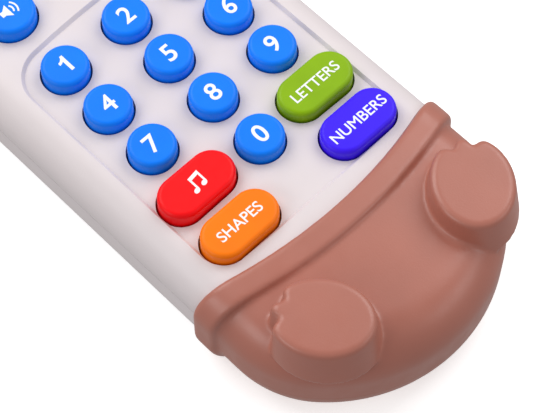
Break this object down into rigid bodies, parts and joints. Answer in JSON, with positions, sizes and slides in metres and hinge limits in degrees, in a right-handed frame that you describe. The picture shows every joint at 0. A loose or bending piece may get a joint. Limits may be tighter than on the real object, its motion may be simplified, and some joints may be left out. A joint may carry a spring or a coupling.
{
  "type": "toy cell phone",
  "caption": "Baby's toy phone: domed plastic handset with sprung keys in a shallow recess, a soft boot with two feet at the lower end and a soft eared hood at the top.",
  "frame": {"origin": "on the plane the phone rests on when it lies on its back, under the middle of its overall length and width", "axes": "+X to the phone's right as its face is read, +Y along its length to the top, +Z out of its face"},
  "size_m": [0.0816, 0.201, 0.035],
  "materials": {
    "blue_plastic": "satin",
    "red_plastic": "satin",
    "green_plastic": "satin",
    "purple_plastic": "satin",
    "orange_plastic": "satin",
    "white_plastic": "satin",
    "milky_plastic": "satin, translucent",
    "brown_silicone": "satin",
    "grey_silicone": "matte",
    "circuit_board": "satin",
    "steel": "plated",
    "nickel_steel": "plated",
    "lamp_resin": "clear",
    "black_resin": "satin",
    "capacitor_sleeve": "satin",
    "cell_wrap": "gloss",
    "speaker_paper": "matte",
    "magnet": "matte",
    "foam": "matte",
    "grey_plastic": "matte",
    "black_plastic": "matte",
    "wire_red": "satin",
    "wire_black": "satin"
  },
  "bodies": {
    "handset": {"back_shell": "white_plastic", "battery_leads": "wire_black", "board_screws": "steel", "capacitor": "capacitor_sleeve", "cell_left": "cell_wrap", "cell_right": "cell_wrap", "flat_contacts": "nickel_steel", "front_shell": "white_plastic", "key_mat": "grey_silicone", "lamps": "lamp_resin", "light_window": "milky_plastic", "main_board": "circuit_board", "ring_screws": "steel", "shell_screws": "steel", "sound_chip": "black_resin", "speaker_cone": "speaker_paper", "speaker_frame": "steel", "speaker_gasket": "foam", "speaker_leads": "wire_red", "speaker_magnet": "magnet", "speaker_ring": "grey_plastic", "spring_contacts": "nickel_steel", "switch_case": "steel"},
    "key_0": {"key_0": "blue_plastic"},
    "key_1": {"key_1": "blue_plastic"},
    "key_2": {"key_2": "blue_plastic"},
    "key_3": {"key_3": "blue_plastic"},
    "key_4": {"key_4": "blue_plastic"},
    "key_5": {"key_5": "blue_plastic"},
    "key_6": {"key_6": "blue_plastic"},
    "key_7": {"key_7": "blue_plastic"},
    "key_8": {"key_8": "blue_plastic"},
    "key_9": {"key_9": "blue_plastic"},
    "music_key": {"music_key": "red_plastic"},
    "letters_key": {"letters_key": "green_plastic"},
    "numbers_key": {"numbers_key": "purple_plastic"},
    "shapes_key": {"shapes_key": "orange_plastic"},
    "speaker_key": {"speaker_key": "blue_plastic"},
    "call_key": {"call_key": "green_plastic"},
    "battery_cover": {"battery_cover": "white_plastic", "cover_screws": "steel"},
    "power_slider": {"switch_slider": "black_plastic"},
    "foot_boot": {"foot_boot": "brown_silicone"},
    "head_hood": {"head_hood": "brown_silicone"}
  },
  "joints": [
    {"name": "key_0_press", "type": "slide", "parent": "handset", "child": "key_0", "axis": [0, 0, -1], "range_m": [0, 0.0012], "stiffness_N_per_m": 1000, "deforming": ["key_mat"]},
    {"name": "key_1_press", "type": "slide", "parent": "handset", "child": "key_1", "axis": [0, 0, -1], "range_m": [0, 0.0012], "stiffness_N_per_m": 1000, "deforming": ["key_mat"]},
    {"name": "key_2_press", "type": "slide", "parent": "handset", "child": "key_2", "axis": [0, 0, -1], "range_m": [0, 0.0012], "stiffness_N_per_m": 1000, "deforming": ["key_mat"]},
    {"name": "key_3_press", "type": "slide", "parent": "handset", "child": "key_3", "axis": [0, 0, -1], "range_m": [0, 0.0012], "stiffness_N_per_m": 1000, "deforming": ["key_mat"]},
    {"name": "key_4_press", "type": "slide", "parent": "handset", "child": "key_4", "axis": [0, 0, -1], "range_m": [0, 0.0012], "stiffness_N_per_m": 1000, "deforming": ["key_mat"]},
    {"name": "key_5_press", "type": "slide", "parent": "handset", "child": "key_5", "axis": [0, 0, -1], "range_m": [0, 0.0012], "stiffness_N_per_m": 1000, "deforming": ["key_mat"]},
    {"name": "key_6_press", "type": "slide", "parent": "handset", "child": "key_6", "axis": [0, 0, -1], "range_m": [0, 0.0012], "stiffness_N_per_m": 1000, "deforming": ["key_mat"]},
    {"name": "key_7_press", "type": "slide", "parent": "handset", "child": "key_7", "axis": [0, 0, -1], "range_m": [0, 0.0012], "stiffness_N_per_m": 1000, "deforming": ["key_mat"]},
    {"name": "key_8_press", "type": "slide", "parent": "handset", "child": "key_8", "axis": [0, 0, -1], "range_m": [0, 0.0012], "stiffness_N_per_m": 1000, "deforming": ["key_mat"]},
    {"name": "key_9_press", "type": "slide", "parent": "handset", "child": "key_9", "axis": [0, 0, -1], "range_m": [0, 0.0012], "stiffness_N_per_m": 1000, "deforming": ["key_mat"]},
    {"name": "music_key_press", "type": "slide", "parent": "handset", "child": "music_key", "axis": [0, 0, -1], "range_m": [0, 0.0012], "stiffness_N_per_m": 1000, "deforming": ["key_mat"]},
    {"name": "letters_key_press", "type": "slide", "parent": "handset", "child": "letters_key", "axis": [0, 0, -1], "range_m": [0, 0.0012], "stiffness_N_per_m": 1000, "deforming": ["key_mat"]},
    {"name": "numbers_key_press", "type": "slide", "parent": "handset", "child": "numbers_key", "axis": [0, 0, -1], "range_m": [0, 0.0012], "stiffness_N_per_m": 1000, "deforming": ["key_mat"]},
    {"name": "shapes_key_press", "type": "slide", "parent": "handset", "child": "shapes_key", "axis": [0, 0, -1], "range_m": [0, 0.0012], "stiffness_N_per_m": 1000, "deforming": ["key_mat"]},
    {"name": "speaker_key_press", "type": "slide", "parent": "handset", "child": "speaker_key", "axis": [0, 0, -1], "range_m": [0, 0.0012], "stiffness_N_per_m": 1000, "deforming": ["key_mat"]},
    {"name": "call_key_press", "type": "slide", "parent": "handset", "child": "call_key", "axis": [0, 0, -1], "range_m": [0, 0.0012], "stiffness_N_per_m": 1000, "deforming": ["key_mat"]},
    {"name": "battery_cover_lift", "type": "slide", "parent": "handset", "child": "battery_cover", "axis": [0, 0, -1], "range_m": [0, 0.015]},
    {"name": "power_switch_slide", "type": "slide", "parent": "handset", "child": "power_slider", "axis": [0, 1, 0], "range_m": [0, 0.0032]},
    {"name": "foot_boot_pull", "type": "slide", "parent": "handset", "child": "foot_boot", "axis": [0, -1, 0], "range_m": [0, 0.05]},
    {"name": "head_hood_pull", "type": "slide", "parent": "handset", "child": "head_hood", "axis": [0, 1, 0], "range_m": [0, 0.05]}
  ]
}
